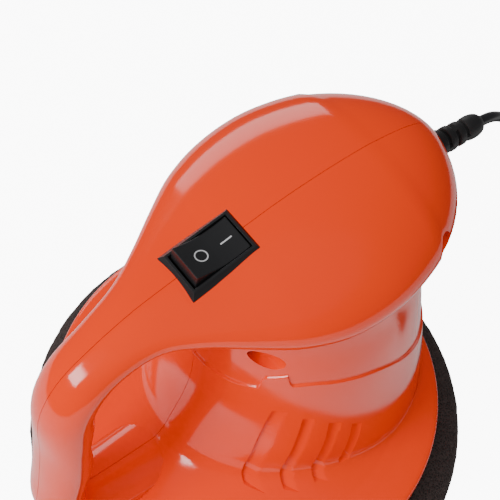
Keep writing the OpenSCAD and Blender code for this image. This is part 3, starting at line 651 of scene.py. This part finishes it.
# %% Smooth light on the shell
def take_normals(piece, forms, reach=0.03):
    """Gives a cut mesh the smooth normals of the forms it was cut from, wherever it still lies on them."""
    trees = []
    for form in forms:
        mesh = form.data
        mesh.calc_loop_triangles()
        triangles = [tuple(t.vertices) for t in mesh.loop_triangles]
        points = [v.co.copy() for v in mesh.vertices]
        normals = [v.normal.copy() for v in mesh.vertices]
        trees.append((BVHTree.FromPolygons(points, triangles), triangles, points, normals))
    mesh = piece.data
    found, taken = [None] * len(mesh.loops), 0
    for face in mesh.polygons:
        flat = face.normal
        for i in face.loop_indices:
            at = mesh.vertices[mesh.loops[i].vertex_index].co
            best = flat
            for tree, triangles, points, normals in trees:
                hit, _, index, _ = tree.find_nearest(at, reach * MM)
                if hit is None:
                    continue
                a, b, c = triangles[index]
                share = barycentric(hit, points[a], points[b], points[c])
                normal = (normals[a] * share[0] + normals[b] * share[1] + normals[c] * share[2]).normalized()
                if normal.dot(flat) > 0.86:
                    best, taken = normal, taken + 1
                    break
            found[i] = best
    mesh.shade_smooth()
    mesh.normals_split_custom_set(found)
    return taken / len(mesh.loops)


def barycentric(p, a, b, c):
    """Shares of the three corners at a point of their triangle."""
    u, v, w = b - a, c - a, p - a
    uu, uv, vv, wu, wv = u.dot(u), u.dot(v), v.dot(v), w.dot(u), w.dot(v)
    under = uu * vv - uv * uv
    if abs(under) < 1e-24:
        return (1, 0, 0)
    s, t = (vv * wu - uv * wv) / under, (uu * wv - uv * wu) / under
    return (1 - s - t, s, t)


halves = {}
for name, side in (("left", -1), ("right", 1)):
    half = bpy.data.objects.new("shell_" + name, shell.data.copy())
    bpy.context.scene.collection.objects.link(half)
    low, high = ((-120, -90, 10), (140, -0.07, 140)) if side < 0 else ((-120, 0.07, 10), (140, 90, 140))
    carve(half, block(low, high), "INTERSECT")
    share = take_normals(half, (tube_form, column_form))
    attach(half, "housing")
    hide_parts("housing_" + name)
    halves[name] = half
    print(half.name, len(half.data.polygons), "faces,", round(share * 100), "% of corners on smooth forms")
for spare in (shell, tube_form, column_form):
    bpy.data.objects.remove(spare, do_unlink=True)

# %% [markdown]
# ## The rocker switch
#
# The switch is a bought part that snaps into the head. Its frame has flat sloping sides that meet in
# mitred corners, and a narrow level ring round the rocker. The rocker is one moulding, bent slightly
# upwards at both ends and hollowed for the fingertip. It stands with its "on" end pressed down, at
# the cord's side. The two signs are printed, so they are thin films that follow the surface.


# %% Switch frame
def mitred(name, profile, half_x, half_y, material, place):
    """A rectangular frame with mitred corners: profile is (how far out, height) round its section."""
    rings = [[place @ Vector((sx * (half_x + out), sy * (half_y + out), z)) for out, z in profile]
             for sx, sy in ((1, 1), (-1, 1), (-1, -1), (1, -1))]
    return skin(name, rings, material, sharp=20, closed=True)


def soften(piece, width, segments=3, angle=30):
    """A small even rounding on the edges that turn by more than the angle."""
    edge = piece.modifiers.new("soften", "BEVEL")
    edge.width, edge.segments = width * MM, segments
    edge.limit_method, edge.angle_limit = "ANGLE", math.radians(angle)
    edge.harden_normals = True


frame_profile = [(0, -10.9), (0, 1.8), (0.62, 1.8), (1.95, 0.42), (2.02, 0), (1, 0), (1, -12), (0.4, -12)]
switch_frame = mitred("switch_frame_shown", frame_profile, 8.5, 5.45, finishes["switch_black"], SWITCH)
soften(switch_frame, 0.07, 2)
switch_floor = block((-9.4, -6.4, -12), (9.4, 6.4, -10.85), SWITCH)
switch_floor.name = "switch_floor"
switch_floor.data.materials.append(finishes["switch_black"])
for piece in (switch_frame, switch_floor):
    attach(piece, "housing")
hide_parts("switch_frame")

# %% Rocker
ROCKER = SWITCH @ Matrix.Translation((0, 0, -0.5)) @ Matrix.Rotation(math.radians(11), 4, "Y")
ROCKER_HALF, ROCKER_RISE, ROCKER_LOW, DISH = 7.6, 7.6 * math.tan(math.radians(11)), 2.2, 0.28


def rocker_top(x):
    """Height of the rocker's top: rising to both ends, with a shallow dish in each half."""
    t = min(abs(x) / ROCKER_HALF, 1)
    return ROCKER_LOW + ROCKER_RISE * t - DISH * math.sin(math.pi * t)


top_line = [(x, rocker_top(x)) for x in [ROCKER_HALF * (k / 12) for k in range(-12, 13)]]
right_under = [(8.15, 0.6), (8.05, -1.4), (2.4, -2.8), (1.8, -5.4)]
under = right_under + [(-x, z) for x, z in reversed(right_under)]
outline = top_line + under
rocker = skin("rocker_shown", [[ROCKER @ Vector((x, y, z)) for x, z in outline] for y in (-5.1, 5.1)],
              finishes["switch_black"], sharp=12)
soften(rocker, 0.22, 3, 14)
pin = [[ROCKER @ Vector((math.cos(a), y, math.sin(a))) for a in [math.pi * k / 12 for k in range(24)]]
       for y in (-6.2, 6.2)]
rocker_pin = skin("rocker_pin", pin, finishes["switch_black"])
O_AT, O_OUT, O_IN, I_AT, I_LONG, I_WIDE = -2.9, 1.7, 1.38, 4.2, 3.2, 0.38
film = (-0.06, 0.03)


def on_rocker(x, y, lift):
    return ROCKER @ Vector((x, y, rocker_top(x) + lift))


sign_o = skin("sign_o", [
    [on_rocker(O_AT + r * math.cos(a), r * math.sin(a), lift)
     for r, lift in ((O_IN, film[0]), (O_IN, film[1]), (O_OUT, film[1]), (O_OUT, film[0]))]
    for a in [math.pi * k / 32 for k in range(64)]], mark_grey, closed=True)
sign_i = skin("sign_i", [
    [on_rocker(I_AT + I_LONG * (k / 8 - 0.5), y, lift)
     for y, lift in ((-I_WIDE / 2, film[0]), (-I_WIDE / 2, film[1]),
                     (I_WIDE / 2, film[1]), (I_WIDE / 2, film[0]))]
    for k in range(9)], mark_grey)
for piece in (rocker, rocker_pin, sign_o, sign_i):
    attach(piece, "rocker")
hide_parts("rocker")
print("switch: frame, rocker and two signs")

# %% [markdown]
# ## The cord guard
#
# The guard is a soft rubber sleeve, moulded on the lead. Collars stiffen it at the head, and the gaps
# between them let it bend, each bridged by two webs that stand a quarter turn from the next gap's. It
# ends in a rounded collar that tapers to the cable, so that the cable is never bent sharply.

# %% Cord guard
collars = []
for k in range(4):
    z, radius = 1.2 + 3.4 * k, 3.9 - 0.18 * k
    collars += [(radius - 1, z), (radius - 0.25, z + 0.02), (radius - 0.05, z + 0.2), (radius, z + 0.6),
                (radius - 0.02, z + 1.7), (radius - 0.1, z + 2.0), (radius - 0.3, z + 2.18),
                (radius - 1, z + 2.22)]
inner_end = [(0.01, -4.6), (3.9, -4.6), (4, -4.5), (4, -2.9), (3.9, -2.8), (2.9, -2.8), (2.9, 0.6)]
guard_profile = inner_end + collars + [
    (2.36, 14.7), (2.95, 14.85), (3.16, 15.2), (3.3, 16), (3.35, 17), (3.3, 18), (3.16, 18.9), (2.95, 19.6),
    (2.65, 20.2), (2.3, 20.6), (1.95, 20.85), (1.62, 21), (0.01, 21)]
guard = turned("cord_guard", guard_profile, finishes["rubber_black"], sides=72, sharp=50, place=GLAND)
webs = []
for k in range(4):
    z, radius = 3.3 + 3.4 * k, 3.6 - 0.18 * k
    turn = Matrix.Rotation(math.radians(90 * (k % 2)), 4, "Z")
    web = block((-radius, -0.8, z), (radius, 0.8, z + 1.5), GLAND @ turn)
    web.name = f"guard_web_{k + 1}"
    web.data.materials.append(finishes["rubber_black"])
    soften(web, 0.15, 2)
    webs.append(web)
for piece in (guard, *webs):
    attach(piece, "housing")
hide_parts("strain_relief")

# %% [markdown]
# ## The foam pad
#
# The pad is cut from open-celled foam and turned round at the rim. Its cells are torn where the knife
# went through, so the surface is never quite even. A little relief is put in the mesh itself, always
# inwards, and the cells are left to the finish.

# %% Foam pad
PAD_H, PAD_SIDES = 19, 256
RIM_R, RIM_ROUND, RIM_HALF = 58, 7.5, 9
SHOULDER_R, SHOULDER_ROUND, SHOULDER_Z = 56.5, 9, 11
TORN_OUT, TORN_UP, TORN_GRAIN = 0.5, 0.25, 0.55
pad_line = [(r, 0.0) for r in range(2, 57, 3)]
pad_line += [(RIM_R + RIM_ROUND * math.cos(math.radians(a)), RIM_HALF + RIM_HALF * math.sin(math.radians(a)))
             for a in range(-90, 0, 6)]
pad_line += [(SHOULDER_R + SHOULDER_ROUND * math.cos(math.radians(a)),
              SHOULDER_Z + (PAD_H - SHOULDER_Z) * math.sin(math.radians(a))) for a in range(0, 91, 6)]
pad_line += [(r, PAD_H) for r in range(54, 1, -4)]
pad_rings = []
for r, z in pad_line:
    ring = []
    for k in range(PAD_SIDES):
        a = 2 * math.pi * k / PAD_SIDES
        torn = 0.5 + 0.5 * noise.noise(Vector((r * math.cos(a), r * math.sin(a), z)) * TORN_GRAIN)
        edge = ease((r - 50) / 6)
        worn = r - TORN_OUT * torn * edge
        ring.append((worn * math.cos(a), worn * math.sin(a), z + (TORN_UP * torn if z < 1 else 0)))
    pad_rings.append(ring)
pad = skin("pad_foam", pad_rings, finishes["foam"], sharp=60)
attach(pad, "pad")
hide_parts("foam_pad")
print("pad:", len(pad.data.polygons), "faces")

# %% [markdown]
# ## The tie round the coil
#
# The coil is held by one band of hook tape. It goes round the bundle with its corners rounded by the
# cable, and it's cut from flat tape, so it has an even thickness.

# %% Tie
TIE_AT, TIE_Y, TIE_WIDE, TIE_THICK = COIL_AT[0] - 18, COIL_AT[1], 4, 0.7
tie_low, tie_high, tie_in, tie_out = 0.45, LEAD + LAYER_STEP * (LAYERS - 1) + 0.05, -7.9, 7.9


def band(thickness):
    """The band's line in its own plane: a rounded rectangle, a thickness away from the bundle."""
    round_by, line = 1.4 + thickness, []
    left, right = tie_in - thickness, tie_out + thickness
    low, high = tie_low - min(thickness, 0.42), tie_high + thickness
    for cx, cz, start in ((right - round_by, low + round_by, -90), (right - round_by, high - round_by, 0),
                          (left + round_by, high - round_by, 90), (left + round_by, low + round_by, 180)):
        for k in range(7):
            a = math.radians(start + 15 * k)
            line.append((cx + round_by * math.cos(a), cz + round_by * math.sin(a)))
    return line


inside, outside = band(0), band(TIE_THICK)
tie = skin("coil_tie", [
    [(TIE_AT + x, TIE_Y - TIE_WIDE / 2, z), (TIE_AT + ox, TIE_Y - TIE_WIDE / 2, oz),
     (TIE_AT + ox, TIE_Y + TIE_WIDE / 2, oz), (TIE_AT + x, TIE_Y + TIE_WIDE / 2, z)]
    for (x, z), (ox, oz) in zip(inside, outside)], finishes["hook"], closed=True)
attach(tie, "housing")
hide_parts("cord_tie")

# %% [markdown]
# ## Floor and light
#
# A pale table top, two wide panels and a broad soft lamp overhead, as in a product picture. The overhead
# lamp doesn't show in the gloss, the panels do, because what shows on a glossy moulding is the shape of
# its lamps. The table is burnt out to white for the camera only, so it doesn't flood the shell with light.


# %% Floor
table_corners = [(-500, -500, 0), (500, -500, 0), (500, 500, 0), (-500, 500, 0)]
floor = make_piece("floor", table_corners, [(0, 1, 2, 3)],
                   finish("pale_table", (0.90, 0.90, 0.895), (0.93, 0.93, 0.925), 0.62, grain=60, depth=0.01))
floor.location.z = -0.0002


# %% Lights
def panel(name, at, aim, size, power, tint=(1, 1, 1)):
    """A soft panel of the given width and height in metres."""
    lamp = bpy.data.lights.new(name, "AREA")
    lamp.shape, lamp.size, lamp.size_y, lamp.energy, lamp.color = "RECTANGLE", *size, power, tint
    stand = bpy.data.objects.new(name, lamp)
    stand.location = at
    stand.rotation_euler = (Vector(aim) - Vector(at)).to_track_quat("-Z", "Y").to_euler()
    bpy.context.scene.collection.objects.link(stand)
    return stand


panel("key", (-0.9, 0.1, 0.75), (0, 0, 0.09), (0.5, 0.3), 8)
panel("back", (0.35, 1.1, 0.45), (0.02, 0, 0.09), (0.9, 0.4), 4)
sun = bpy.data.objects.new("sky", bpy.data.lights.new("sky", "SUN"))
sun.data.energy, sun.data.angle = 2.0, math.radians(70)
sun.rotation_euler = (math.radians(12), math.radians(-18), 0)
bpy.context.scene.collection.objects.link(sun)
sun.visible_glossy = False
tree = floor.data.materials[0].node_tree
glow = tree.nodes["Principled BSDF"]
glow.inputs["Emission Color"].default_value = (1, 1, 1, 1)
seen = tree.nodes.new("ShaderNodeLightPath")
burn = tree.nodes.new("ShaderNodeMapRange")
burn.inputs["To Min"].default_value = 0.12
burn.inputs["To Max"].default_value = 9.0
tree.links.new(seen.outputs["Is Camera Ray"], burn.inputs["Value"])
tree.links.new(burn.outputs["Result"], glow.inputs["Emission Strength"])
world = bpy.data.worlds.new("studio")
world.use_nodes = True
world.node_tree.nodes["Background"].inputs["Color"].default_value = (0.97, 0.975, 1, 1)
world.node_tree.nodes["Background"].inputs["Strength"].default_value = 0.12
bpy.context.scene.world = world
print("two panels, a soft sky and a pale room")
